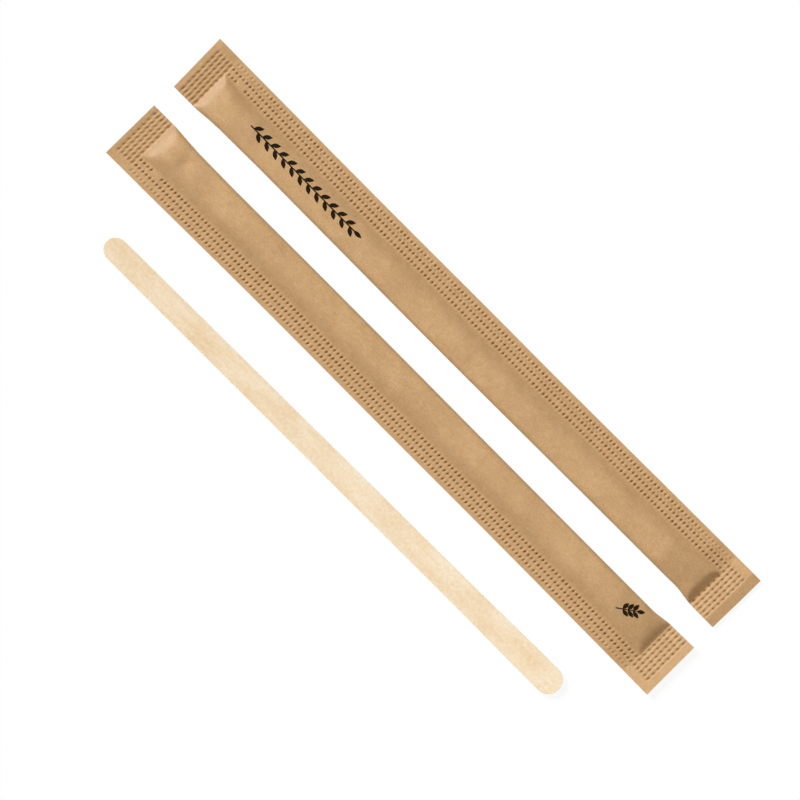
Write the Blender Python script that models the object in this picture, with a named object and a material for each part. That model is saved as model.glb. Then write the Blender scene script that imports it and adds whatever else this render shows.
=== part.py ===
import math

import bmesh
import bpy

# Pack of wooden drink stirrers. Two stirrers are sealed in folded kraft-paper sachets, one lying front face
# up and one back face up, and a third stirrer lies bare beside them.
# X runs along the sachets, Y across the pack and Z up from the table. All sizes are in metres.

# Stirrer: a flat stick with round ends, a little wider at its stirring end
STIRRER_LENGTH = 0.1400
STIRRER_THICKNESS = 0.0013
NARROW_END_WIDTH = 0.00545
SHANK_WIDTH = 0.00592
WIDE_END_WIDTH = 0.00645
FLARE_LENGTH = 0.0380
EDGE_ROUNDING = 0.00012
ROUND_END_FACETS = 20
FLARE_FACETS = 6

# Embossed seals: a lattice of pits presses the two plies of paper together
PLY_THICKNESS = 0.00009
PITCH_ALONG = 0.001046
PITCH_ACROSS = 0.00153
PIT_DEPTH = 0.00013
SIDE_ROWS = 3
SIDE_EDGE_TO_PIT = 0.00135
END_COLUMNS = 5
NEAR_END_TO_PIT = 0.00180
FAR_END_TO_PIT = 0.00283
UNPRESSED_AFTER = 3
UNPRESSED_COLUMNS = 2
FOLD_MARGIN = 0.0002

# Pouch: the plies bulge round a stirrer that lies against the fold, with room left over in each direction
ROOM_ALONG = 0.01416
ROOM_ACROSS = 0.00177
ROOM_ABOVE = 0.0005
BELLY_DEPTH = 0.0006
BELLY_FLATNESS = 1.35
CREST_INSET = 0.0024
FOLD_ROLL = 0.0010
TENT_LENGTH = 0.0016
TENT_SHARE = 0.70
LEVEL_LENGTH = 0.0060
FOLD_DRAW_IN = 0.00062
DRAW_IN_LENGTH = 0.0100
SEAL_BOW = 0.00025

# Facets of the pouch along its length, in lattice columns counted from each end seal
TENT_FACETS = (0, 1, 2, 3, 5, 8, 12)
MIDDLE_FACET = 18

# How the three pieces lie on the table
SACHET_GAP = 0.0059
STIRRER_GAP = 0.0103
STIRRER_SHIFT = -0.0003
FRONT_SACHET_TURN = math.radians(-0.07)
BACK_SACHET_TURN = math.radians(-0.11)
STIRRER_TURN = math.radians(0.19)

# Sachet sizes that follow from the stirrer inside and from the seals
PLAIN_EDGE = SIDE_EDGE_TO_PIT - PITCH_ACROSS / 2
SIDE_SEAL_WIDTH = PLAIN_EDGE + PITCH_ACROSS * SIDE_ROWS
END_SEALS_LENGTH = NEAR_END_TO_PIT + FAR_END_TO_PIT + PITCH_ALONG * (2 * END_COLUMNS - 1)
SACHET_LENGTH = END_SEALS_LENGTH + STIRRER_LENGTH + ROOM_ALONG
SACHET_WIDTH = SIDE_SEAL_WIDTH + WIDE_END_WIDTH + STIRRER_THICKNESS + ROOM_ACROSS
SEAL_HEIGHT = BELLY_DEPTH + PLY_THICKNESS
CROWN_HEIGHT = STIRRER_THICKNESS + ROOM_ABOVE - BELLY_DEPTH
CREST_END = SACHET_WIDTH - FOLD_ROLL
CREST_START = CREST_END - (SHANK_WIDTH - CREST_INSET)

# The lattice, fitted to the sachet with whole columns and rows
PITTED_LENGTH = SACHET_LENGTH - NEAR_END_TO_PIT - FAR_END_TO_PIT
COLUMNS = round(PITTED_LENGTH / PITCH_ALONG) + 1
COLUMN_STEP = PITTED_LENGTH / (COLUMNS - 1)
ROWS = int((SACHET_WIDTH - FOLD_MARGIN - PLAIN_EDGE) / PITCH_ACROSS)
NEAR_POUCH_END = NEAR_END_TO_PIT + COLUMN_STEP * (END_COLUMNS - 0.5)
FAR_POUCH_END = SACHET_LENGTH - FAR_END_TO_PIT - COLUMN_STEP * (END_COLUMNS - 0.5)


def clear_scene():
    for old in list(bpy.data.objects):
        bpy.data.objects.remove(old, do_unlink=True)


def make_material(name, color, roughness):
    material = bpy.data.materials.new(name)
    material.use_nodes = True
    shader = material.node_tree.nodes["Principled BSDF"]
    shader.inputs["Base Color"].default_value = (*color, 1.0)
    shader.inputs["Roughness"].default_value = roughness
    shader.inputs["Metallic"].default_value = 0.0
    return material


def add_piece(bm, name, material, parent):
    bmesh.ops.recalc_face_normals(bm, faces=bm.faces[:])
    mesh = bpy.data.meshes.new(name)
    bm.to_mesh(mesh)
    bm.free()
    mesh.materials.append(material)
    mesh.shade_smooth()
    mesh.set_sharp_from_angle(angle=math.radians(30.0))
    piece = bpy.data.objects.new(name, mesh)
    piece.parent = parent
    bpy.context.collection.objects.link(piece)
    return piece


# Lines of the lattice along the sachet: one between neighbouring columns of pits, and one at each cut end
def lines_along():
    between = [NEAR_END_TO_PIT + COLUMN_STEP * (step - 0.5) for step in range(COLUMNS + 1)]
    return [0.0] + between + [SACHET_LENGTH]


# Lines across the sachet, from the sealed edge to the fold
def lines_across():
    between = [PLAIN_EDGE + PITCH_ACROSS * row for row in range(ROWS + 1)]
    return [0.0] + between + [SACHET_WIDTH]


# Where a count of lattice lines lies on the sheet, in metres
def at_line(lines, count):
    line = min(int(count), len(lines) - 2)
    return lines[line] + (count - line) * (lines[line + 1] - lines[line])


# The flat sheet, with X and Y as counts of lattice lines from its near end and its sealed edge
def make_blank():
    columns = COLUMNS + 2
    strips = ROWS + 2
    bm = bmesh.new()
    bmesh.ops.create_grid(bm, x_segments=columns, y_segments=strips, size=0.5)
    for vert in bm.verts:
        vert.co.x = round((vert.co.x + 0.5) * columns)
        vert.co.y = round((vert.co.y + 0.5) * strips)
    return bm


def is_pressed(column, row):
    if not (0 <= column < COLUMNS and 0 <= row < ROWS):
        return False
    from_far_end = COLUMNS - 1 - column
    if min(column, from_far_end) < END_COLUMNS:
        return row > 0
    past_end_seal = column - END_COLUMNS
    if row == SIDE_ROWS - 1 and 0 <= past_end_seal - UNPRESSED_AFTER < UNPRESSED_COLUMNS:
        return False
    return row < SIDE_ROWS


# One pit in the middle of each pressed cell
def press_pits(bm):
    pit = bm.verts.layers.int.new("pit")
    pressed = []
    for face in bm.faces:
        middle = face.calc_center_median()
        if is_pressed(int(middle.x) - 1, int(middle.y) - 1):
            pressed.append(face)
    poked = bmesh.ops.poke(bm, faces=pressed, offset=0.0, center_mode="MEAN")
    for vert in poked["verts"]:
        vert[pit] = 1


# The pouch and the plain edge are smooth, so only some of the lattice's lines run on across them
def thin_smooth_paper(bm):
    first = END_COLUMNS + 1
    last = COLUMNS + 1 - END_COLUMNS
    kept = {first + step for step in TENT_FACETS} | {last - step for step in TENT_FACETS}
    kept |= set(range(first + TENT_FACETS[-1], last - TENT_FACETS[-1], MIDDLE_FACET))
    dropped = set(range(first, last + 1)) - kept
    spare = []
    for edge in bm.edges:
        start, end = (vert.co for vert in edge.verts)
        middle = (start.y + end.y) / 2
        is_smooth = middle > SIDE_ROWS + 1 or middle < 1
        if start.x == end.x and start.x in dropped and is_smooth:
            spare.append(edge)
    bmesh.ops.dissolve_edges(bm, edges=spare, use_verts=True)
    wide = [face for face in bm.faces if len(face.verts) > 4]
    bmesh.ops.triangulate(bm, faces=wide, quad_method="BEAUTY", ngon_method="BEAUTY")


def smooth_rise(share):
    share = min(max(share, 0.0), 1.0)
    return share * share * (3.0 - 2.0 * share)


# Share of its full height that the pouch has reached: a straight slope off each end seal, then a gentle one
def tent(along):
    from_seal = min(along - NEAR_POUCH_END, FAR_POUCH_END - along)
    if from_seal <= 0.0:
        return 0.0
    if from_seal < TENT_LENGTH:
        return TENT_SHARE * from_seal / TENT_LENGTH
    rest = min((from_seal - TENT_LENGTH) / LEVEL_LENGTH, 1.0)
    return TENT_SHARE + (1.0 - TENT_SHARE) * (1.0 - (1.0 - rest) ** 2)


# Section across the pouch: it swells from the seal, is level over the stirrer and rolls down to the fold
def crown(across):
    if across <= SIDE_SEAL_WIDTH or across >= SACHET_WIDTH:
        return 0.0
    before_crest = max(0.0, CREST_START - across) / (CREST_START - SIDE_SEAL_WIDTH)
    past_crest = max(0.0, across - CREST_END) / FOLD_ROLL
    return 1.0 - max(before_crest, past_crest) ** 2


# Filling the pouch draws the fold in, and bows the sealed edge a little
def drawn_in(along, across):
    from_seal = min(along - NEAR_POUCH_END, FAR_POUCH_END - along)
    pull = smooth_rise(from_seal / DRAW_IN_LENGTH)
    pouch_share = max(0.0, across - SIDE_SEAL_WIDTH) / (SACHET_WIDTH - SIDE_SEAL_WIDTH)
    bow = SEAL_BOW * math.sin(math.pi * along / SACHET_LENGTH)
    edge = SACHET_WIDTH / 2 - bow
    return edge - across + (bow + FOLD_DRAW_IN * pull) * pouch_share


def height(along, across, is_upper, is_pit):
    swell = tent(along) * crown(across)
    if is_upper:
        level = SEAL_HEIGHT + PLY_THICKNESS + CROWN_HEIGHT * swell
    else:
        level = SEAL_HEIGHT - PLY_THICKNESS - BELLY_DEPTH * min(1.0, BELLY_FLATNESS * swell)
    return level - PIT_DEPTH * is_pit


# A sealed sachet. The sealed edge is on +Y where side is 1, and on -Y where it is -1, the sachet turned over.
def make_sachet(name, side, material, parent):
    bm = make_blank()
    press_pits(bm)
    thin_smooth_paper(bm)
    pit = bm.verts.layers.int["pit"]
    doubled = bmesh.ops.extrude_face_region(bm, geom=bm.faces[:])
    upper = {item for item in doubled["geom"] if isinstance(item, bmesh.types.BMVert)}
    along_lines = lines_along()
    across_lines = lines_across()
    for vert in bm.verts:
        along = at_line(along_lines, vert.co.x)
        across = at_line(across_lines, vert.co.y)
        vert.co.x = along - SACHET_LENGTH / 2
        vert.co.y = side * drawn_in(along, across)
        vert.co.z = height(along, across, vert in upper, vert[pit])
    return add_piece(bm, name, material, parent)


def half_circle(center, radius, start_angle):
    steps = range(ROUND_END_FACETS + 1)
    angles = [start_angle + math.pi * step / ROUND_END_FACETS for step in steps]
    return [(center + radius * math.cos(angle), radius * math.sin(angle)) for angle in angles]


# One long edge of the stick where it flares from the shank to the stirring end
def flare_edge():
    start = STIRRER_LENGTH - FLARE_LENGTH
    end = STIRRER_LENGTH - WIDE_END_WIDTH / 2
    edge = []
    for step in range(FLARE_FACETS):
        share = step / FLARE_FACETS
        width = SHANK_WIDTH + (WIDE_END_WIDTH - SHANK_WIDTH) * smooth_rise(share)
        edge.append((start + (end - start) * share, width / 2))
    return edge


def stirrer_outline():
    wide_end = half_circle(STIRRER_LENGTH - WIDE_END_WIDTH / 2, WIDE_END_WIDTH / 2, -math.pi / 2)
    narrow_end = half_circle(NARROW_END_WIDTH / 2, NARROW_END_WIDTH / 2, math.pi / 2)
    left_edge = flare_edge()
    right_edge = [(along, -across) for along, across in left_edge]
    return wide_end + left_edge[::-1] + narrow_end + right_edge


def make_stirrer(name, material, parent):
    bm = bmesh.new()
    outline = stirrer_outline()
    verts = [bm.verts.new((along - STIRRER_LENGTH / 2, across, 0.0)) for along, across in outline]
    underside = bm.faces.new(verts)
    raised = bmesh.ops.extrude_face_region(bm, geom=[underside])
    top = [item for item in raised["geom"] if isinstance(item, bmesh.types.BMVert)]
    bmesh.ops.translate(bm, vec=(0.0, 0.0, STIRRER_THICKNESS), verts=top)
    rims = [edge for edge in bm.edges if edge.verts[0].co.z == edge.verts[1].co.z]
    bmesh.ops.bevel(
        bm, geom=rims, offset=EDGE_ROUNDING, segments=1, profile=0.5, affect="EDGES", material=-1
    )
    return add_piece(bm, name, material, parent)


# The pack's own origin is the middle of its footprint, on the table
def centre_pack(pack, pieces):
    bpy.context.view_layer.update()
    points = [piece.matrix_world @ vert.co for piece in pieces for vert in piece.data.vertices]
    for axis in (0, 1):
        values = [point[axis] for point in points]
        pack.location[axis] = -(min(values) + max(values)) / 2


def build_pack():
    clear_scene()
    pack = bpy.data.objects.new("stirrer_pack", None)
    bpy.context.collection.objects.link(pack)
    kraft = make_material("kraft_paper", (0.56, 0.34, 0.16), 0.85)
    birch = make_material("birch", (0.86, 0.72, 0.50), 0.6)

    front_sachet = make_sachet("sachet_front_up", 1, kraft, pack)
    front_sachet.rotation_euler.z = FRONT_SACHET_TURN

    back_sachet = make_sachet("sachet_back_up", -1, kraft, pack)
    back_sachet.location.y = -(SACHET_WIDTH + SACHET_GAP)
    back_sachet.rotation_euler.z = BACK_SACHET_TURN

    stirrer = make_stirrer("bare_stirrer", birch, pack)
    stirrer.location.x = STIRRER_SHIFT
    stirrer.location.y = back_sachet.location.y - (SACHET_WIDTH + WIDE_END_WIDTH) / 2 - STIRRER_GAP
    stirrer.rotation_euler.z = STIRRER_TURN

    centre_pack(pack, [front_sachet, back_sachet, stirrer])


build_pack()
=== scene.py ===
import math

import bmesh
import bpy
import numpy as np
from mathutils import Matrix, Vector


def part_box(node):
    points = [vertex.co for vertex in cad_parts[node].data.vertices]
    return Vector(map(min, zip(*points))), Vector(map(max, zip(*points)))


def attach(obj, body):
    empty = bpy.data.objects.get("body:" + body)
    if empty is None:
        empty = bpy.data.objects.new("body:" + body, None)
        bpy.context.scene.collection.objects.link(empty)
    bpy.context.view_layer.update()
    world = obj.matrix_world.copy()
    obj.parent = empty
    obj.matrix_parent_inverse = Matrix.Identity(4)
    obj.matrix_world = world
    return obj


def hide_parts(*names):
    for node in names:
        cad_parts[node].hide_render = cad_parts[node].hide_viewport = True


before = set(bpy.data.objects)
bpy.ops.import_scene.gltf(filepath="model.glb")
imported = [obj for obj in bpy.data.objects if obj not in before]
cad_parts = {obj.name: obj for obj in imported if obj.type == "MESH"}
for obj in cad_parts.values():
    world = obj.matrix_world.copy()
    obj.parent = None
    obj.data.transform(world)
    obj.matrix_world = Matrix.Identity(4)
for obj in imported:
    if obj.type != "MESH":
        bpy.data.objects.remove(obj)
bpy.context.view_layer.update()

mm = 0.001


def placeOf(node):
    low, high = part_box(node)
    return (low + high) / 2


def smooth(value):
    value = np.clip(value, 0.0, 1.0)
    return value * value * (3.0 - 2.0 * value)


def hill(*offsets):
    return np.exp(-sum(offset ** 2 for offset in offsets))


def addPiece(bm, name, material, sharpAngle):
    mesh = bpy.data.meshes.new(name)
    bm.to_mesh(mesh)
    bm.free()
    mesh.materials.append(material)
    mesh.shade_smooth()
    mesh.set_sharp_from_angle(angle=math.radians(sharpAngle))
    piece = bpy.data.objects.new(name, mesh)
    bpy.context.scene.collection.objects.link(piece)
    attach(piece, "root")
    return piece


# a flat outline becomes a closed plate, one unit thick, that can be shaped afterwards
def thicken(bm, thickness):
    doubled = bmesh.ops.extrude_face_region(bm, geom=bm.faces[:])
    upper = [item for item in doubled["geom"] if isinstance(item, bmesh.types.BMVert)]
    bmesh.ops.translate(bm, vec=(0.0, 0.0, thickness), verts=upper)
    bmesh.ops.recalc_face_normals(bm, faces=bm.faces[:])


def readSpots(mesh):
    spots = np.empty(len(mesh.vertices) * 3, np.float32)
    mesh.vertices.foreach_get("co", spots)
    return spots.reshape(-1, 3).astype(float)


def writeSpots(mesh, points):
    mesh.vertices.foreach_set("co", points.astype(np.float32).ravel())
    mesh.update()


def addAttribute(mesh, name, values):
    layer = mesh.attributes.new(name, "FLOAT", "POINT")
    layer.data.foreach_set("value", values.astype(np.float32))


# a plain material, with what is needed to add nodes to it
def newMaterial(name, roughness, specular):
    material = bpy.data.materials.new(name)
    material.use_nodes = True
    shader = material.node_tree.nodes["Principled BSDF"]
    shader.inputs["Roughness"].default_value = roughness
    shader.inputs["Specular IOR Level"].default_value = specular
    return material, material.node_tree.nodes, material.node_tree.links, shader


def objectPattern(nodes, links, stretch=(1.0, 1.0, 1.0), turn=0.0):
    coords = nodes.new("ShaderNodeTexCoord")
    mapping = nodes.new("ShaderNodeMapping")
    mapping.inputs["Rotation"].default_value = (0.0, 0.0, math.radians(turn))
    mapping.inputs["Scale"].default_value = stretch
    links.new(coords.outputs["Object"], mapping.inputs["Vector"])
    return mapping.outputs["Vector"]


def noise(nodes, links, vector, scale, detail, roughness):
    texture = nodes.new("ShaderNodeTexNoise")
    texture.inputs["Scale"].default_value = scale
    texture.inputs["Detail"].default_value = detail
    texture.inputs["Roughness"].default_value = roughness
    links.new(vector, texture.inputs["Vector"])
    return texture.outputs["Fac"]


def ranged(nodes, links, value, fromLow, fromHigh, toLow=0.0, toHigh=1.0):
    node = nodes.new("ShaderNodeMapRange")
    node.inputs["From Min"].default_value = fromLow
    node.inputs["From Max"].default_value = fromHigh
    node.inputs["To Min"].default_value = toLow
    node.inputs["To Max"].default_value = toHigh
    links.new(value, node.inputs["Value"])
    return node.outputs["Result"]


def colorMix(nodes, links, factor, first, second, blend="MIX"):
    node = nodes.new("ShaderNodeMix")
    node.data_type = "RGBA"
    node.blend_type = blend
    sockets = [node.inputs[0], node.inputs[6], node.inputs[7]]
    for socket, value in zip(sockets, (factor, first, second)):
        if isinstance(value, bpy.types.NodeSocket):
            links.new(value, socket)
        elif isinstance(value, tuple):
            socket.default_value = (*value, 1.0)
        else:
            socket.default_value = value
    return node.outputs[2]


def attributeValue(nodes, name):
    node = nodes.new("ShaderNodeAttribute")
    node.attribute_name = name
    return node.outputs["Fac"]


def addBump(nodes, links, shader, height, strength, distance):
    bump = nodes.new("ShaderNodeBump")
    bump.inputs["Strength"].default_value = strength
    bump.inputs["Distance"].default_value = distance
    links.new(height, bump.inputs["Height"])
    links.new(bump.outputs["Normal"], shader.inputs["Normal"])


# kraft paper: mottled brown pulp with short fibres; darker in the pits, furrows and creases, a little
# from the pressing and mostly as painted shade, and darker over the hollows, partly as no wood shows
# through and partly as painted shade; every noise is its scale, detail and roughness, and every range is
# the part of a noise that is used
kraftPaper = {
    "middle": (0.562, 0.341, 0.160),
    "roughness": 0.52,
    "specular": 0.28,
    "cloudNoise": (120.0, 2.0, 0.5),
    "cloudRange": (0.3, 0.7),
    "clouds": ((0.534, 0.336, 0.166), (0.590, 0.346, 0.154)),
    "cloudShare": 0.95,
    "mottleNoise": (560.0, 2.0, 0.6),
    "mottleRange": (0.27, 0.73),
    "mottle": ((0.478, 0.276, 0.108), (0.652, 0.412, 0.218)),
    "mottleShare": 0.60,
    "grainNoise": (2300.0, 3.0, 0.7),
    "grainRange": (0.27, 0.73),
    "grain": ((0.42, 0.235, 0.095), (0.700, 0.450, 0.232)),
    "grainShare": 0.46,
    "fibreNoise": (1.0, 2.0, 0.5),
    "fibreRange": (0.63, 0.74),
    "fibreStretch": (420.0, 5200.0, 2600.0),
    # heading, colour and share of each kind of fibre
    "fibres": (
        (24.0, (0.36, 0.20, 0.09), 0.34),
        (-31.0, (0.80, 0.58, 0.34), 0.28),
        (78.0, (0.40, 0.23, 0.10), 0.26),
    ),
    # the first tint darkens the pits, furrows and creases, a little for the pressed paper and mostly as
    # painted shade; the second darkens the hollows and tents, partly because no wood shows through and
    # partly as painted shade
    "pressedAndShadedTint": (0.44, 0.30, 0.10),
    "hollowShadeTint": (0.875, 0.865, 0.855),
    "bumpStrength": 0.6,
    "bumpDepth": 0.02 * mm,
}


def makeKraft():
    look = kraftPaper
    material, nodes, links, shader = newMaterial("kraftPaper", look["roughness"], look["specular"])
    plain = objectPattern(nodes, links)
    clouds = noise(nodes, links, plain, *look["cloudNoise"])
    mottle = noise(nodes, links, plain, *look["mottleNoise"])
    grain = noise(nodes, links, plain, *look["grainNoise"])
    cloudy = colorMix(nodes, links, ranged(nodes, links, clouds, *look["cloudRange"]), *look["clouds"])
    paper = colorMix(nodes, links, look["cloudShare"], look["middle"], cloudy)
    mottled = colorMix(nodes, links, ranged(nodes, links, mottle, *look["mottleRange"]), *look["mottle"])
    paper = colorMix(nodes, links, look["mottleShare"], paper, mottled)
    grained = colorMix(nodes, links, ranged(nodes, links, grain, *look["grainRange"]), *look["grain"])
    paper = colorMix(nodes, links, look["grainShare"], paper, grained)
    for turn, tint, share in look["fibres"]:
        stretched = objectPattern(nodes, links, look["fibreStretch"], turn)
        fibre = noise(nodes, links, stretched, *look["fibreNoise"])
        strand = ranged(nodes, links, fibre, *look["fibreRange"], 0.0, share)
        paper = colorMix(nodes, links, strand, paper, tint)
    # painted shade from two masks: the pits, furrows and creases (a little of it the pressed paper's own
    # darkening), and the hollows and tents (partly where no wood shows through)
    for name in ("hollowShade", "pressedAndShaded"):
        tinted = colorMix(nodes, links, 1.0, paper, look[name + "Tint"], "MULTIPLY")
        paper = colorMix(nodes, links, attributeValue(nodes, name), paper, tinted)
    links.new(paper, shader.inputs["Base Color"])
    addBump(nodes, links, shader, grain, look["bumpStrength"], look["bumpDepth"])
    return material


# birch: pale, with soft warm clouds, faint streaks and short pores along the stick
birchWood = {
    "pale": (0.990, 0.890, 0.710),
    "warm": (0.840, 0.600, 0.345),
    "pore": (0.62, 0.43, 0.25),
    "roughness": 0.62,
    "specular": 0.22,
    "cloudStretch": (75.0, 190.0, 190.0),
    "cloudNoise": (1.0, 3.0, 0.55),
    "streakStretch": (70.0, 900.0, 900.0),
    "streakNoise": (1.0, 3.0, 0.6),
    "speckNoise": (1400.0, 2.0, 0.6),
    # spread and share of the clouds, the streaks and the specks
    "layers": ((0.17, 1.0), (0.20, 0.32), (0.19, 0.36)),
    "poreStretch": (420.0, 4600.0, 4600.0),
    "poreTurn": 1.5,
    "poreNoise": (1.0, 2.0, 0.6),
    "poreRange": (0.62, 0.74),
    "poreShare": 0.30,
    "lengthTint": ((0.935, 0.915, 0.895), (1.0, 1.0, 1.0)),
    "tintReach": 70.0 * mm,
    # painted shade on the rounded edges, sides and underside
    "rimShadeTint": (0.76, 0.74, 0.72),
    "bumpStrength": 0.4,
    "bumpDepth": 0.010 * mm,
}


def makeBirch():
    look = birchWood
    material, nodes, links, shader = newMaterial("birch", look["roughness"], look["specular"])
    plain = objectPattern(nodes, links)
    streaked = objectPattern(nodes, links, look["streakStretch"])
    clouded = objectPattern(nodes, links, look["cloudStretch"])
    pored = objectPattern(nodes, links, look["poreStretch"], look["poreTurn"])
    streaks = noise(nodes, links, streaked, *look["streakNoise"])
    clouds = noise(nodes, links, clouded, *look["cloudNoise"])
    specks = noise(nodes, links, plain, *look["speckNoise"])
    pores = noise(nodes, links, pored, *look["poreNoise"])
    wood = look["pale"]
    for pattern, (spread, share) in zip((clouds, streaks, specks), look["layers"]):
        paleness = ranged(nodes, links, pattern, 0.5 - spread, 0.5 + spread)
        layer = colorMix(nodes, links, paleness, look["warm"], look["pale"])
        wood = colorMix(nodes, links, share, wood, layer)
    poreMask = ranged(nodes, links, pores, *look["poreRange"], 0.0, look["poreShare"])
    wood = colorMix(nodes, links, poreMask, wood, look["pore"])
    # the far end is a little paler
    axes = nodes.new("ShaderNodeSeparateXYZ")
    links.new(plain, axes.inputs["Vector"])
    farShare = ranged(nodes, links, axes.outputs["X"], -look["tintReach"], look["tintReach"])
    lengthwise = colorMix(nodes, links, farShare, *look["lengthTint"])
    wood = colorMix(nodes, links, 1.0, wood, lengthwise, "MULTIPLY")
    # painted shade on everything but the flat top
    rimShaded = colorMix(nodes, links, 1.0, wood, look["rimShadeTint"], "MULTIPLY")
    wood = colorMix(nodes, links, attributeValue(nodes, "rimShade"), wood, rimShaded)
    links.new(wood, shader.inputs["Base Color"])
    addBump(nodes, links, shader, pores, look["bumpStrength"], look["bumpDepth"])
    return material


# printing ink: brown-black, soaked into the paper, a little uneven
printInk = {
    "roughness": 0.75,
    "specular": 0.06,
    "thin": (0.026, 0.013, 0.005),
    "full": (0.012, 0.006, 0.002),
    "noise": (2600.0, 3.0, 0.7),
    "range": (0.35, 0.75),
}


def makeInk():
    look = printInk
    material, nodes, links, shader = newMaterial("ink", look["roughness"], look["specular"])
    uneven = noise(nodes, links, objectPattern(nodes, links), *look["noise"])
    ink = colorMix(nodes, links, ranged(nodes, links, uneven, *look["range"]), look["full"], look["thin"])
    links.new(ink, shader.inputs["Base Color"])
    return material


# what both sachets share; places along and across are counted on the flat sheet, from its near end
# and from its sealed edge
sachetMake = {
    "length": 168.2 * mm,
    "width": 14.7 * mm,
    "ply": 0.09 * mm,
    "sharpAngle": 62.0,
    # the lattice of pits, and the sheet's lines around each pit in steps of the lattice
    "edgeToRow": 1.48 * mm,
    "pitchAcross": 1.55 * mm,
    "rows": 9,
    "sideRows": 3,
    "endColumns": 5,
    "sideSeal": 5.22 * mm,
    "edgeLines": (0.0, 0.2 * mm, 0.4 * mm),
    "columnLines": (-0.5, -0.31, -0.19, -0.09, 0.0, 0.09, 0.19, 0.31),
    "rowLines": (-0.5, -0.27, -0.13, 0.0, 0.13, 0.27),
    "foldLines": (14.60 * mm, 14.65 * mm, 14.68 * mm, 14.70 * mm),
    "marginSteps": 4,
    "pouchStride": 4,
    "fineEnd": 4.0 * mm,
    "fineFold": 12.9 * mm,
    # pits of the side seal
    "pitAlong": 0.205 * mm,
    "pitAcross": 0.29 * mm,
    "pitDepth": 0.32 * mm,
    "pitLean": 0.40,
    "pitWall": 1.25,
    "pitStrength": (0.72, 1.12),
    "pitSlip": 0.05,
    "fadeStart": 18,
    "fadeColumns": 10.0,
    "fadeShare": 0.6,
    "rowFurrow": 0.035 * mm,
    "furrowAcross": 0.34 * mm,
    "rowCrease": 0.02 * mm,
    "creaseAcross": 0.09 * mm,
    # creaseTint and extraTint paint shade into the row creases and the faint pits
    "creaseTint": 0.26,
    "extraAlong": 0.15 * mm,
    "extraAcross": 0.12,
    "extraTint": 3.0,
    # ribs of the end seals, counted in steps of the lattice
    "ribContrast": 0.28,
    "ribTwist": 0.4,
    # ribCreaseTint paints shade into the end seals' creases
    "ribCreaseTint": 0.06,
    "ribInner": 0.45,
    "ribOuter": 0.65,
    "ribFade": 0.25,
    "ribRowStart": 0.35,
    "ribRowFade": 0.5,
    "ribToMargin": 0.4 * mm,
    # the pouch
    "bellyDepth": 0.6 * mm,
    "bellyShare": 1.35,
    "crownHeight": 1.2 * mm,
    "crestStart": 10.2 * mm,
    "crestReach": 9.0 * mm,
    "crestEnd": 12.2 * mm,
    "tentReach": 1.6 * mm,
    "foldRoundness": 2.3,
    "slackWaves": (34.0, 23.0, 15.0, 9.5, 6.5),
    "slackShare": 0.0036,
    "slackTurn": 0.9,
    "slackFromSeal": 3 * mm,
    "slackFromFold": 1.5 * mm,
    # the outline
    "bowRise": 1.6,
    "bowRipple": 0.1,
    "driftReach": 24.0 * mm,
    "driftFromEdge": 0.9 * mm,
    "driftFromFold": 1.4 * mm,
    "cutReach": 18.0 * mm,
    # near end, far end, inner edge and outer edge of the hidden stirrer, and how softly each one shows
    "stirrerInside": (8.7 * mm, 148.7 * mm, 8.0 * mm, 14.3 * mm),
    "stirrerSoftness": (1.6 * mm, 3.0 * mm, 3.4 * mm, 0.5 * mm),
    "sealTint": (0.10, 0.26, 0.44),
    "sealSoftness": 0.6 * mm,
    "endSoftness": 0.8 * mm,
}

# trims are pairs of a place along and a shift in mm; dips are place along, place across, both spreads
# and depth in mm
# in each end, furrowTint and dotTint paint shade into the end seal's furrows and dots
frontSachet = {
    "name": "frontSachet",
    "node": "sachet_front_up",
    "side": 1,
    "turn": -0.07,
    "seed": 11,
    "columns": 157,
    "unpressed": (8, 9),
    "extraPit": 0.08 * mm,
    "sealBow": 0.27 * mm,
    "foldDrawIn": 0.62 * mm,
    "foldEase": 0.22 * mm,
    "sealedTrim": ((0.0, 0.0), (100.0, 0.0), (135.0, 0.09), (160.0, 0.07), (168.2, 0.0)),
    "foldTrim": (
        (0.0, -0.08), (10.0, -0.08), (13.0, 0.06), (18.0, 0.05), (26.0, -0.04), (40.0, 0.0),
        (153.0, 0.0), (159.0, -0.16), (163.0, -0.03), (168.2, 0.0),
    ),
    "dips": ((12.0, 11.5, 1.8, 3.0, 0.05), (9.6, 7.0, 1.2, 1.6, 0.10), (156.0, 9.0, 2.2, 2.0, 0.05)),
    "near": {
        "pit": 1.80 * mm, "pouch": 6.15 * mm, "sealTilt": 5.0, "marginTilt": 0.0,
        "drop": 0.12 * mm, "dropReach": 5.0 * mm, "drift": 0.50 * mm, "driftPerRow": 0.05 * mm,
        "cutIn": (0.18 * mm, 0.46 * mm), "cutPower": 1.0, "drawInLength": 8.5 * mm,
        "tentSlope": 0.46, "tentCurve": 0.0, "tentRound": 7, "knee": 0.64,
        "levelLength": 10.0 * mm, "crest": 6.9 * mm,
        "furrow": 0.18 * mm, "dot": 0.06 * mm, "crease": 0.012 * mm, "ribPower": 0.9, "sway": 0.10,
        "furrowTint": 0.34, "dotTint": 0.35,
    },
    "far": {
        "pit": 2.83 * mm, "pouch": 7.35 * mm, "sealTilt": 8.0, "marginTilt": -8.0,
        "drop": 0.45 * mm, "dropReach": 7.0 * mm, "drift": 0.32 * mm, "driftPerRow": 0.05 * mm,
        "cutIn": (-0.11 * mm, 0.11 * mm), "cutPower": 2.0, "drawInLength": 5.5 * mm,
        "tentSlope": 0.63, "tentCurve": 0.0, "tentRound": 6, "knee": 1.20,
        "levelLength": 8.0 * mm, "crest": 7.8 * mm,
        "furrow": 0.14 * mm, "dot": 0.13 * mm, "crease": 0.03 * mm, "ribPower": 1.7, "sway": 0.03,
        "furrowTint": 0.36, "dotTint": 0.60,
    },
}

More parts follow.
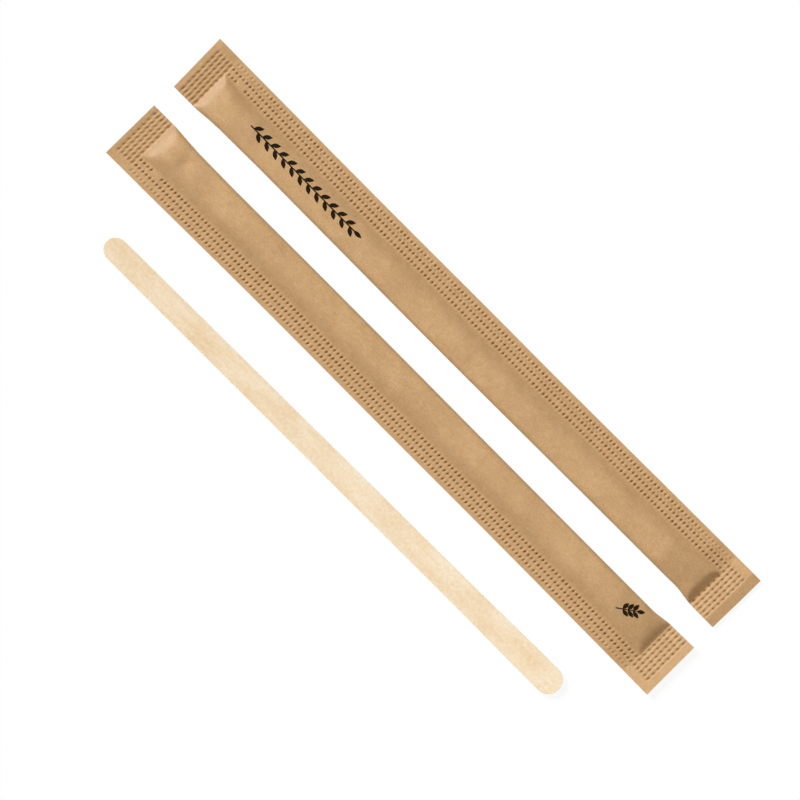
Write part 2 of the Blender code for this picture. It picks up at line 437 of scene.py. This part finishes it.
backSachet = {
    "name": "backSachet",
    "node": "sachet_back_up",
    "side": -1,
    "turn": -0.11,
    "seed": 23,
    "columns": 158,
    "unpressed": (9, 10),
    "extraPit": 0.0,
    "sealBow": 0.25 * mm,
    "foldDrawIn": 0.62 * mm,
    "foldEase": 0.10 * mm,
    "sealedTrim": ((0.0, 0.13), (12.0, 0.17), (26.0, 0.08), (45.0, 0.0), (168.2, 0.0)),
    "foldTrim": (
        (0.0, -0.04), (9.5, -0.01), (12.8, 0.12), (18.0, 0.04), (26.0, -0.03), (48.0, 0.01),
        (80.0, -0.06), (95.0, -0.11), (155.0, -0.11), (159.0, -0.22), (168.2, -0.09),
    ),
    "dips": ((14.4, 10.2, 2.3, 4.0, 0.26), (13.9, 11.2, 1.4, 2.0, 0.16), (154.5, 8.4, 1.8, 2.4, 0.06)),
    "near": {
        "pit": 1.50 * mm, "pouch": 5.85 * mm, "sealTilt": 1.0, "marginTilt": 4.0,
        "drop": 0.12 * mm, "dropReach": 5.0 * mm, "drift": 0.42 * mm, "driftPerRow": 0.035 * mm,
        "cutIn": (0.12 * mm, 0.28 * mm), "cutPower": 1.0, "drawInLength": 9.0 * mm,
        "tentSlope": 0.25, "tentCurve": 0.4, "tentRound": 7, "knee": 0.62,
        "levelLength": 9.0 * mm, "crest": 9.2 * mm,
        "furrow": 0.17 * mm, "dot": 0.07 * mm, "crease": 0.012 * mm, "ribPower": 0.9, "sway": 0.12,
        "furrowTint": 0.33, "dotTint": 0.40,
    },
    "far": {
        "pit": 2.20 * mm, "pouch": 7.15 * mm, "sealTilt": 9.0, "marginTilt": 10.0,
        "drop": 0.48 * mm, "dropReach": 7.5 * mm, "drift": 0.32 * mm, "driftPerRow": 0.015 * mm,
        "cutIn": (-0.11 * mm, -0.10 * mm), "cutPower": 1.0, "drawInLength": 5.5 * mm,
        "tentSlope": 0.55, "tentCurve": 0.0, "tentRound": 3.5, "knee": 0.86,
        "levelLength": 8.0 * mm, "crest": 8.6 * mm,
        "furrow": 0.14 * mm, "dot": 0.12 * mm, "crease": 0.03 * mm, "ribPower": 1.7, "sway": 0.03,
        "furrowTint": 0.36, "dotTint": 0.60,
    },
}


def columnStep(sachet):
    pitted = sachetMake["length"] - sachet["near"]["pit"] - sachet["far"]["pit"]
    return pitted / (sachet["columns"] - 1)


# how far each place lies inside the pouch, from the nearer end seal
def insidePouch(sachet, along):
    nearSide = along - sachet["near"]["pouch"]
    return np.minimum(nearSide, sachetMake["length"] - sachet["far"]["pouch"] - along)


def byEnd(sachet, along, key):
    return np.where(along < sachetMake["length"] / 2, sachet["near"][key], sachet["far"][key])


# fine lines of the sheet, from its near end to its far end and from the sealed edge to the fold
def sheetLines(sachet):
    make = sachetMake
    step = columnStep(sachet)
    columns = np.arange(sachet["columns"])[:, None] + np.array(make["columnLines"])
    pitted = sachet["near"]["pit"] + step * np.append(columns.ravel(), sachet["columns"] - 0.5)
    fine = step / make["marginSteps"]
    farMargin = make["length"] - pitted[-1]
    near = np.linspace(0.0, pitted[0], round(pitted[0] / fine) + 1)[:-1]
    far = np.linspace(pitted[-1], make["length"], round(farMargin / fine) + 1)[1:]
    rows = np.arange(make["rows"])[:, None] + np.array(make["rowLines"])
    rowed = make["edgeToRow"] + make["pitchAcross"] * rows.ravel()
    across = np.concatenate([make["edgeLines"], rowed, make["foldLines"]])
    return np.concatenate([near, pitted, far]), across


# how far the paper is pressed in, and how dark each place is painted, a little for the pressing and
# mostly as painted shade in the pits, furrows and creases
def pressedDepth(sachet, along, across):
    make = sachetMake
    step = columnStep(sachet)
    rng = np.random.default_rng(sachet["seed"])
    last = sachet["columns"] - 1
    column = (along - sachet["near"]["pit"]) / step
    row = (across - make["edgeToRow"]) / make["pitchAcross"]
    pitColumn = np.clip(np.round(column).astype(int), 0, last)
    pitRow = np.clip(np.round(row).astype(int), 0, make["rows"] - 1)
    lattice = (sachet["columns"], make["rows"])
    strength = rng.uniform(*make["pitStrength"], lattice)[pitColumn, pitRow]
    slip = rng.uniform(-make["pitSlip"], make["pitSlip"], lattice)[pitColumn, pitRow] * mm
    offAlong = (column - pitColumn) * step - slip
    offAcross = (row - pitRow) * make["pitchAcross"]
    lean = offAlong + make["pitLean"] * offAcross * sachet["side"]
    squared = (lean / make["pitAlong"]) ** 2 + (offAcross / make["pitAcross"]) ** 2
    pit = np.exp(-squared ** make["pitWall"]) * strength
    crease = hill(offAcross / make["creaseAcross"])
    # side seal: small deep pits in shallow furrows, fainter in the outer row near the end seals
    toEnd = np.minimum(pitColumn, last - pitColumn)
    isSide = (toEnd >= make["endColumns"]) & (pitRow < make["sideRows"])
    isOpen = (pitRow == make["sideRows"] - 1) & np.isin(pitColumn, sachet["unpressed"])
    isSide &= ~isOpen
    furrow = 0.5 + 0.5 * np.cos(2 * np.pi * column)
    creased = crease * (pitRow > 0)
    faded = (pitRow == 0) * smooth((make["fadeStart"] - toEnd) / make["fadeColumns"])
    sidePit = pit * (1.0 - make["fadeShare"] * faded)
    sideShape = make["pitDepth"] * sidePit
    sideShape = sideShape + make["rowFurrow"] * furrow * hill(offAcross / make["furrowAcross"])
    depth = np.where(isSide, sideShape + make["rowCrease"] * creased, 0.0)
    # how dark each place is painted: a little for the pressed paper, mostly painted shade in the pits and
    # creases
    pressedAndShaded = np.where(isSide, sidePit + make["creaseTint"] * creased, 0.0)
    # faint pits of the other roller, halfway between the first two rows
    offHalfway = (column - np.floor(column) - 0.5) * step
    halfway = hill(offHalfway / make["extraAlong"], (row - 0.5) / make["extraAcross"])
    faint = np.where(isSide, sachet["extraPit"] * halfway * strength, 0.0)
    depth = depth + faint
    pressedAndShaded = pressedAndShaded + make["extraTint"] * faint / make["pitDepth"]
    # end seals: furrows between wavy ribs, deepest at a dot in every row
    beat = 2 * np.pi * row
    wave = np.sin(beat) - make["ribTwist"] * np.sin(2 * beat)
    sway = byEnd(sachet, along, "sway") * sachet["side"] * wave
    furrow = (0.5 + 0.5 * np.cos(2 * np.pi * (column + sway))) ** byEnd(sachet, along, "ribPower")
    fromEnd = np.minimum(column, last - column)
    reach = smooth((make["endColumns"] - make["ribInner"] - fromEnd) / make["ribFade"])
    reach = reach * smooth((fromEnd + make["ribOuter"]) / make["ribFade"])
    reach = reach * smooth((row - make["ribRowStart"]) / make["ribRowFade"])
    contrast = 1.0 - make["ribContrast"] + make["ribContrast"] * np.cos(beat)
    ends = byEnd(sachet, along, "furrow") * furrow * contrast + byEnd(sachet, along, "dot") * pit
    ends = ends + byEnd(sachet, along, "crease") * crease
    # painted shade in the end seals' furrows, dots and creases
    tint = byEnd(sachet, along, "furrowTint") * furrow * contrast + byEnd(sachet, along, "dotTint") * pit
    depth = depth + reach * ends
    pressedAndShaded = np.clip(pressedAndShaded + reach * (tint + make["ribCreaseTint"] * crease), 0.0, 1.0)
    return depth, pressedAndShaded


# soft swells and hollows of slack paper, from a few slow waves
def slack(sachet, along, across):
    make = sachetMake
    rng = np.random.default_rng(sachet["seed"] + 100)
    total = np.zeros_like(along)
    for length in make["slackWaves"]:
        heading = rng.uniform(-make["slackTurn"], make["slackTurn"])
        phase = rng.uniform(0.0, 2 * np.pi)
        turn = 2 * np.pi / (length * mm)
        swing = turn * (along * math.cos(heading) + across * math.sin(heading)) + phase
        total += length * make["slackShare"] * mm * np.sin(swing)
    return total


# the pouch: a crown over the stirrer that ends in a sloping tent at each end seal
def pouchHeight(sachet, along, across):
    make = sachetMake
    inside = insidePouch(sachet, along)
    crest = byEnd(sachet, along, "crest")
    crest = crest + (make["crestStart"] - crest) * smooth(inside / make["crestReach"])
    beforeCrest = np.clip(crest - across, 0.0, None) / (crest - make["sideSeal"])
    pastCrest = np.clip(across - make["crestEnd"], 0.0, None) / (make["width"] - make["crestEnd"])
    roundness = make["foldRoundness"]
    rounded = np.clip(1.0 - pastCrest ** roundness, 0.0, None) ** (1 / roundness)
    crown = np.clip(1.0 - beforeCrest ** 2, 0.0, None) * rounded
    rest = np.clip(inside / byEnd(sachet, along, "levelLength"), 0.0, 1.0)
    knee = byEnd(sachet, along, "knee")
    level = knee + (1.0 - knee) * (1.0 - (1.0 - rest) ** 2)
    # the lower of the crown and the tent's slope, with a rounded change between them
    nothing = 1e-9
    top = make["crownHeight"] * crown * level + nothing
    steepening = (np.clip(inside, 0.0, None) / make["tentReach"]) ** byEnd(sachet, along, "tentCurve")
    slope = byEnd(sachet, along, "tentSlope") * np.clip(inside, 0.0, None) * steepening + nothing
    sharpness = byEnd(sachet, along, "tentRound")
    height = ((top / mm) ** -sharpness + (slope / mm) ** -sharpness) ** (-1 / sharpness) * mm
    room = smooth(inside / make["slackFromSeal"])
    room = room * smooth((across - make["sideSeal"]) / make["slackFromSeal"])
    room = room * smooth((make["width"] - across) / make["slackFromFold"])
    height = height + room * slack(sachet, along, across)
    for place, row, spread, spreadAcross, depth in sachet["dips"]:
        dip = hill((along / mm - place) / spread, (across / mm - row) / spreadAcross)
        height = height - room * depth * mm * dip
    return np.where((inside <= 0.0) | (across <= make["sideSeal"]), 0.0, height)


# the end seals sink where they leave the pouch, and lift or droop beyond it
def endLift(sachet, along):
    make = sachetMake
    lift = np.zeros_like(along)
    for end, fromTip in ((sachet["near"], along), (sachet["far"], make["length"] - along)):
        outside = end["pouch"] - fromTip
        sealLength = end["pouch"] - end["pit"] + make["ribToMargin"]
        onSeal = np.clip(outside, 0.0, sealLength)
        onMargin = np.clip(outside - sealLength, 0.0, None)
        lift += onSeal * math.tan(math.radians(end["sealTilt"]))
        lift += onMargin * math.tan(math.radians(end["marginTilt"]))
        lift -= end["drop"] * (1.0 - smooth(-outside / end["dropReach"]))
    return lift


# towards the ends the rows run a little nearer to the sealed edge
def rowDrift(sachet, along, across):
    make = sachetMake
    row = (across - make["edgeToRow"]) / make["pitchAcross"]
    drift = np.zeros_like(along)
    for end, fromTip in ((sachet["near"], along), (sachet["far"], make["length"] - along)):
        drift += np.exp(-fromTip / make["driftReach"]) * (end["drift"] + end["driftPerRow"] * row)
    fromEdge = np.clip(across / make["driftFromEdge"], 0.0, 1.0)
    fromFold = np.clip((make["width"] - across) / make["driftFromFold"], 0.0, 1.0)
    return drift * fromEdge * fromFold


# the ends aren't cut quite square
def cutShift(sachet, along, across):
    make = sachetMake
    shift = np.zeros_like(along)
    ends = ((sachet["near"], along, 1), (sachet["far"], make["length"] - along, -1))
    for end, fromTip, direction in ends:
        atEdge, atFold = end["cutIn"]
        share = (across / make["width"]) ** end["cutPower"]
        shift += direction * (atEdge + (atFold - atEdge) * share) * np.exp(-fromTip / make["cutReach"])
    return shift


# small shifts of an edge, read between the places where they are given
def trim(sachet, key, along):
    places, amounts = zip(*sachet[key])
    return np.interp(along / mm, places, amounts) * mm


# from the flat sheet to the finished sachet
def formSheet(sachet, along, across, isUpper):
    make = sachetMake
    height = pouchHeight(sachet, along, across)
    depth, pressedAndShaded = pressedDepth(sachet, along, across)
    sealLevel = make["bellyDepth"] + make["ply"]
    belly = make["bellyDepth"] * np.clip(make["bellyShare"] * height / make["crownHeight"], 0.0, 1.0)
    lift = endLift(sachet, along) - depth
    lower = np.clip(sealLevel - make["ply"] - belly + lift, 0.0, None)
    upper = np.maximum(sealLevel + make["ply"] + height + lift, lower + make["ply"])
    z = np.where(isUpper, upper, lower)
    pull = smooth(insidePouch(sachet, along) / byEnd(sachet, along, "drawInLength"))
    moved = across - rowDrift(sachet, along, across)
    share = np.clip(moved - make["sideSeal"], 0.0, None) / (make["width"] - make["sideSeal"])
    swing = np.sin(np.pi * along / make["length"])
    ripple = 1.0 - make["bowRipple"] + make["bowRipple"] * np.cos(6 * np.pi * along / make["length"])
    bow = sachet["sealBow"] * np.clip(swing * make["bowRise"], 0.0, 1.0) * ripple
    drawIn = sachet["foldDrawIn"] * pull - sachet["foldEase"] * swing ** 4
    y = make["width"] / 2 - bow - moved + (bow + drawIn) * share
    toFold = across / make["width"]
    y = y + trim(sachet, "sealedTrim", along) * (1.0 - toFold) - trim(sachet, "foldTrim", along) * toFold
    x = along - make["length"] / 2 + cutShift(sachet, along, across)
    y = y * sachet["side"]
    place = placeOf(sachet["node"])
    turn = math.radians(sachet["turn"])
    worldX = place.x + x * math.cos(turn) - y * math.sin(turn)
    worldY = place.y + x * math.sin(turn) + y * math.cos(turn)
    return np.stack([worldX, worldY, z], axis=1), pressedAndShaded


# 1 where the paper bridges a hollow and 0 where it lies on the stirrer inside, for a darker tint that is
# partly the wood not showing through the thin paper and partly painted shade in the hollows and on the
# tents; the side seal is painted a little darker towards the pouch
def hollowShadeShare(sachet, along, across):
    make = sachetMake
    start, end, inner, outer = make["stirrerInside"]
    insideEdges = (along - start, end - along, across - inner, outer - across)
    over = 1.0
    for distance, softness in zip(insideEdges, make["stirrerSoftness"]):
        over = over * smooth(distance / softness + 0.5)
    isPouch = smooth((across - make["sideSeal"]) / make["sealSoftness"])
    row = (across - make["edgeToRow"]) / make["pitchAcross"]
    onSeal = np.interp(row, np.arange(make["sideRows"]) + 0.5, make["sealTint"]) * (1.0 - isPouch)
    betweenEnds = smooth(insidePouch(sachet, along) / make["endSoftness"])
    return ((1.0 - over) * isPouch + onSeal) * betweenEnds


# the smooth pouch keeps only some of the sheet's lines; the grid's places are still numbers of lines
def thinPouch(bm, sachet, alongLines, acrossLines):
    make = sachetMake
    deep = np.nonzero(insidePouch(sachet, alongLines) > make["fineEnd"])[0]
    start, end = int(deep[0]), int(deep[-1])
    sealLine = int(np.searchsorted(acrossLines, make["sideSeal"])) + 1

    def isKept(line, isAlong):
        if isAlong:
            return line % make["pouchStride"] == start % make["pouchStride"]
        return line % 2 == sealLine % 2 or acrossLines[line] > make["fineFold"]

    for isAlong in (True, False):
        spare = []
        for edge in bm.edges:
            first, second = edge.verts[0].co, edge.verts[1].co
            line = round(first.x if isAlong else first.y)
            level = second.x == first.x if isAlong else second.y == first.y
            if not level or isKept(line, isAlong):
                continue
            middle = (first + second) / 2
            if start <= middle.x <= end and middle.y > sealLine and middle.y < len(acrossLines) - 1:
                spare.append(edge)
        bmesh.ops.dissolve_edges(bm, edges=spare, use_verts=True)
    wide = [face for face in bm.faces if len(face.verts) > 4]
    bmesh.ops.triangulate(bm, faces=wide, quad_method="BEAUTY", ngon_method="BEAUTY")


def makeSachet(sachet, material):
    alongLines, acrossLines = sheetLines(sachet)
    columns = len(alongLines) - 1
    strips = len(acrossLines) - 1
    bm = bmesh.new()
    bmesh.ops.create_grid(bm, x_segments=columns, y_segments=strips, size=0.5)
    for vert in bm.verts:
        vert.co.x = round((vert.co.x + 0.5) * columns)
        vert.co.y = round((vert.co.y + 0.5) * strips)
    thinPouch(bm, sachet, alongLines, acrossLines)
    thicken(bm, 1.0)
    piece = addPiece(bm, sachet["name"], material, sachetMake["sharpAngle"])
    mesh = piece.data
    spots = readSpots(mesh)
    along = alongLines[np.round(spots[:, 0]).astype(int)]
    across = acrossLines[np.round(spots[:, 1]).astype(int)]
    points, pressedAndShaded = formSheet(sachet, along, across, spots[:, 2] > 0.5)
    writeSpots(mesh, points)
    mesh.set_sharp_from_angle(angle=math.radians(sachetMake["sharpAngle"]))
    # the painted shade of the pits and creases and of the hollows goes to the material as attributes
    addAttribute(mesh, "pressedAndShaded", pressedAndShaded)
    addAttribute(mesh, "hollowShade", hollowShadeShare(sachet, along, across))
    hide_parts(sachet["node"])
    print("sachet", sachet["name"], len(mesh.polygons), "faces")


# printed marks: flat patches of ink that follow the paper
inkPrint = {
    "lift": 0.006 * mm,
    "thickness": 0.016 * mm,
    "stepsAcross": 4,
    "stemSteps": 60,
    "leafSteps": 18,
    "leafGap": 0.06 * mm,
    "leafFullness": 0.85,
    "leafBase": 1.15,
    "leafTaper": 0.3,
    "mergeDistance": 0.001 * mm,
    "sharpAngle": 40.0,
}


# half the width of a stick with round ends, at one place along it
def roundEnded(half, radius, fromTip):
    if fromTip >= radius:
        return half
    return math.sqrt(max(0.0, radius ** 2 - (radius - fromTip) ** 2))


# half the width of each kind of mark along its length, which is a share from 0 to 1
def stemProfile(length, width):
    return lambda share: roundEnded(width / 2, width / 2, min(share, 1.0 - share) * length)


def leafProfile(width):
    fullness = inkPrint["leafFullness"]
    base = inkPrint["leafBase"]
    taper = inkPrint["leafTaper"]
    return lambda share: width / 2 * math.sin(math.pi * share) ** fullness * (base - taper * share)


def addMark(bm, halfWidth, length, center, turn, lengthSteps):
    made = bmesh.ops.create_grid(bm, x_segments=lengthSteps, y_segments=inkPrint["stepsAcross"], size=0.5)
    for vert in made["verts"]:
        share = 0.5 - 0.5 * math.cos(math.pi * (vert.co.x + 0.5))
        vert.co.y = 2.0 * vert.co.y * halfWidth(share)
        vert.co.x = (share - 0.5) * length
    place = Matrix.Translation((*center, 0.0)) @ Matrix.Rotation(math.radians(turn), 4, "Z")
    bmesh.ops.transform(bm, matrix=place, verts=made["verts"])


def layInk(name, bm, sachet, origin, material):
    bmesh.ops.remove_doubles(bm, verts=bm.verts[:], dist=inkPrint["mergeDistance"])
    thicken(bm, 1.0)
    piece = addPiece(bm, name, material, inkPrint["sharpAngle"])
    spots = readSpots(piece.data)
    along = origin[0] + spots[:, 0]
    across = origin[1] - sachet["side"] * spots[:, 1]
    points = formSheet(sachet, along, across, np.ones(len(along), bool))[0]
    points[:, 2] += inkPrint["lift"] + np.where(spots[:, 2] > 0.5, inkPrint["thickness"], 0.0)
    writeSpots(piece.data, points)
    print("print", name, len(piece.data.polygons), "faces")


# a leafy twig, long on the front and a short sprig on the back; a stem is its length, width and middle,
# a leaf is its length and width
frontPrint = {
    "name": "frontPrint",
    "middle": (35.65 * mm, 9.15 * mm),
    "stem": (33.2 * mm, 0.34 * mm, -0.7 * mm),
    "leaf": (2.35 * mm, 1.05 * mm),
    "leafPlaces": tuple(-16.5 * mm + 2.62 * mm * count for count in range(12)),
    "stagger": 1.31 * mm,
    "spread": 40.0,
    "tip": 16.3 * mm,
    "turn": 0.0,
}

backPrint = {
    "name": "backPrint",
    "middle": (152.0 * mm, 10.7 * mm),
    "stem": (4.9 * mm, 0.26 * mm, -0.35 * mm),
    "leaf": (1.95 * mm, 0.98 * mm),
    "leafPlaces": (-1.25 * mm, -0.05 * mm, 1.15 * mm),
    "stagger": 0.0,
    "spread": 46.0,
    "tip": 3.1 * mm,
    "turn": 38.0,
}


def printTwig(marks, sachet, material):
    bm = bmesh.new()
    stemLength, stemWidth, stemPlace = marks["stem"]
    stem = stemProfile(stemLength, stemWidth)
    addMark(bm, stem, stemLength, (stemPlace, 0.0), 0.0, inkPrint["stemSteps"])
    leafLength, leafWidth = marks["leaf"]
    leaf = leafProfile(leafWidth)
    reach = leafLength / 2 + stemWidth / 2 + inkPrint["leafGap"]
    for place in marks["leafPlaces"]:
        for sign in (-1, 1):
            angle = math.radians(marks["spread"] * sign)
            root = place + (marks["stagger"] if sign < 0 else 0.0)
            center = (root + reach * math.cos(angle), reach * math.sin(angle))
            addMark(bm, leaf, leafLength, center, marks["spread"] * sign, inkPrint["leafSteps"])
    addMark(bm, leaf, leafLength, (marks["tip"], 0.0), 0.0, inkPrint["leafSteps"])
    turned = Matrix.Rotation(math.radians(marks["turn"]), 3, "Z")
    bmesh.ops.rotate(bm, cent=(0.0, 0.0, 0.0), matrix=turned, verts=bm.verts[:])
    layInk(marks["name"], bm, sachet, marks["middle"], material)


# the bare stirrer: a thin flat stick with round ends and softened edges; widths are pairs of a place
# along and a width in mm
bareStirrer = {
    "length": 139.8 * mm,
    "thickness": 1.3 * mm,
    "turn": 0.19,
    "shift": (0.14 * mm, -0.08 * mm),
    "widths": (
        (0.0, 5.34), (25.0, 5.54), (48.0, 5.62), (71.0, 5.82), (100.0, 5.88),
        (112.0, 5.97), (123.0, 6.18), (130.0, 6.34), (136.8, 6.38), (140.0, 6.38),
    ),
    "edge": 0.16 * mm,
    "edgeSteps": 3,
    "edgeAngle": 60.0,
    "lengthSteps": 150,
    "widthSteps": 10,
    "endCrowding": 0.145,
    "mergeDistance": 0.002 * mm,
    "levelWithin": 0.001 * mm,
    "rimDepth": 0.01 * mm,
    "sharpAngle": 50.0,
}


def makeStirrer(material):
    stick = bareStirrer
    length = stick["length"]
    places, widths = zip(*stick["widths"])
    bm = bmesh.new()
    steps, stepsAcross = stick["lengthSteps"], stick["widthSteps"]
    made = bmesh.ops.create_grid(bm, x_segments=steps, y_segments=stepsAcross, size=0.5)
    for vert in made["verts"]:
        share = vert.co.x + 0.5
        # the ends get closer lines, for their rounding
        along = length * (share - stick["endCrowding"] * math.sin(2 * math.pi * share))
        half = np.interp(along / mm, places, widths) * mm / 2
        radius = widths[0 if along < length / 2 else -1] * mm / 2
        vert.co.x = along - length / 2
        vert.co.y = 2.0 * vert.co.y * roundEnded(half, radius, min(along, length - along))
    bmesh.ops.remove_doubles(bm, verts=bm.verts[:], dist=stick["mergeDistance"])
    thicken(bm, stick["thickness"])
    rims = []
    for edge in bm.edges:
        isLevel = abs(edge.verts[0].co.z - edge.verts[1].co.z) < stick["levelWithin"]
        if isLevel and edge.calc_face_angle(0.0) > math.radians(stick["edgeAngle"]):
            rims.append(edge)
    bmesh.ops.bevel(bm, geom=rims, offset=stick["edge"], segments=stick["edgeSteps"], profile=0.5,
                    affect="EDGES", material=-1, clamp_overlap=True)
    place = placeOf("bare_stirrer") + Vector((*stick["shift"], 0.0))
    place.z = 0.0
    turned = Matrix.Rotation(math.radians(stick["turn"]), 4, "Z")
    bmesh.ops.transform(bm, matrix=Matrix.Translation(place) @ turned, verts=bm.verts[:])
    piece = addPiece(bm, "bareStirrer", material, stick["sharpAngle"])
    heights = readSpots(piece.data)[:, 2]
    # all but the flat top is a rim, which gets painted shade
    addAttribute(piece.data, "rimShade", (heights < stick["thickness"] - stick["rimDepth"]) * 1.0)
    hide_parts("bare_stirrer")
    print("stirrer", len(piece.data.polygons), "faces")


# floor, light and camera
studio = {
    "floorSize": 3.0,
    "floorHeight": -0.03 * mm,
    "floorColor": (0.97, 0.97, 0.97),
    "floorRoughness": 0.9,
    "floorGlow": 0.91,
    "skyStrength": 0.34,
    "skyTint": (1.12, 1.0, 0.86),
    "sunTint": (0.94, 1.0, 1.065),
    "sunPower": 3.55,
    "sunHeight": 36.0,
    "sunHeading": 180.0,
    "sunSoftness": 20.0,
    "lens": 200.0,
    "sensorWidth": 36.0,
    "clipStart": 0.01,
    "distance": 976.9 * mm,
    "aim": (0.118 * mm, -2.198 * mm),
    "turn": 45.0,
}


# a pale floor that the camera sees nearly white, and that keeps a faint shadow
def makeFloor():
    bm = bmesh.new()
    bmesh.ops.create_grid(bm, x_segments=1, y_segments=1, size=studio["floorSize"] / 2)
    bmesh.ops.translate(bm, vec=(0.0, 0.0, studio["floorHeight"]), verts=bm.verts[:])
    mesh = bpy.data.meshes.new("floor")
    bm.to_mesh(mesh)
    bm.free()
    floor = bpy.data.objects.new("floor", mesh)
    bpy.context.scene.collection.objects.link(floor)
    material, nodes, links, shader = newMaterial("floorWhite", studio["floorRoughness"], 0.0)
    shader.inputs["Base Color"].default_value = (*studio["floorColor"], 1.0)
    glow = nodes.new("ShaderNodeEmission")
    path = nodes.new("ShaderNodeLightPath")
    share = ranged(nodes, links, path.outputs["Is Camera Ray"], 0.0, 1.0, 0.0, studio["floorGlow"])
    blend = nodes.new("ShaderNodeMixShader")
    links.new(share, blend.inputs["Fac"])
    links.new(shader.outputs[0], blend.inputs[1])
    links.new(glow.outputs[0], blend.inputs[2])
    links.new(blend.outputs[0], nodes["Material Output"].inputs["Surface"])
    mesh.materials.append(material)


# an even sky, a little warm, which the camera and reflections see as white
def makeSky():
    world = bpy.data.worlds.new("studioSky")
    bpy.context.scene.world = world
    world.use_nodes = True
    nodes, links = world.node_tree.nodes, world.node_tree.links
    background = nodes["Background"]
    path = nodes.new("ShaderNodeLightPath")
    seen = path.outputs["Is Camera Ray"]
    for name in ("Is Transmission Ray", "Is Glossy Ray"):
        either = nodes.new("ShaderNodeMath")
        either.operation = "MAXIMUM"
        links.new(seen, either.inputs[0])
        links.new(path.outputs[name], either.inputs[1])
        seen = either.outputs[0]
    strength = ranged(nodes, links, seen, 0.0, 1.0, studio["skyStrength"], 1.0)
    links.new(strength, background.inputs["Strength"])
    tint = colorMix(nodes, links, seen, studio["skyTint"], (1.0, 1.0, 1.0))
    links.new(tint, background.inputs["Color"])


# soft, slightly cool light from beyond the near ends
def makeWindowLight():
    lamp = bpy.data.lights.new("windowLight", "SUN")
    lamp.energy = studio["sunPower"]
    lamp.color = studio["sunTint"]
    lamp.angle = math.radians(studio["sunSoftness"])
    sun = bpy.data.objects.new("windowLight", lamp)
    heading = math.radians(studio["sunHeading"])
    height = math.radians(studio["sunHeight"])
    level = math.cos(height)
    toward = Vector((math.cos(heading) * level, math.sin(heading) * level, math.sin(height)))
    sun.rotation_euler = toward.to_track_quat("Z", "Y").to_euler()
    bpy.context.scene.collection.objects.link(sun)


def makeCamera():
    cameraData = bpy.data.cameras.new("camera")
    cameraData.lens = studio["lens"]
    cameraData.sensor_width = studio["sensorWidth"]
    cameraData.clip_start = studio["clipStart"]
    camera = bpy.data.objects.new("camera", cameraData)
    camera.location = (*studio["aim"], studio["distance"])
    camera.rotation_euler = (0.0, 0.0, math.radians(studio["turn"]))
    bpy.context.scene.collection.objects.link(camera)
    bpy.context.scene.camera = camera


makeFloor()
makeSky()
makeWindowLight()
makeCamera()
print("studio ready")
kraft = makeKraft()
birch = makeBirch()
ink = makeInk()
makeSachet(frontSachet, kraft)
makeSachet(backSachet, kraft)
makeStirrer(birch)
printTwig(frontPrint, frontSachet, ink)
printTwig(backPrint, backSachet, ink)

bpy.context.scene.view_settings.view_transform = "Standard"
bpy.context.view_layer.update()
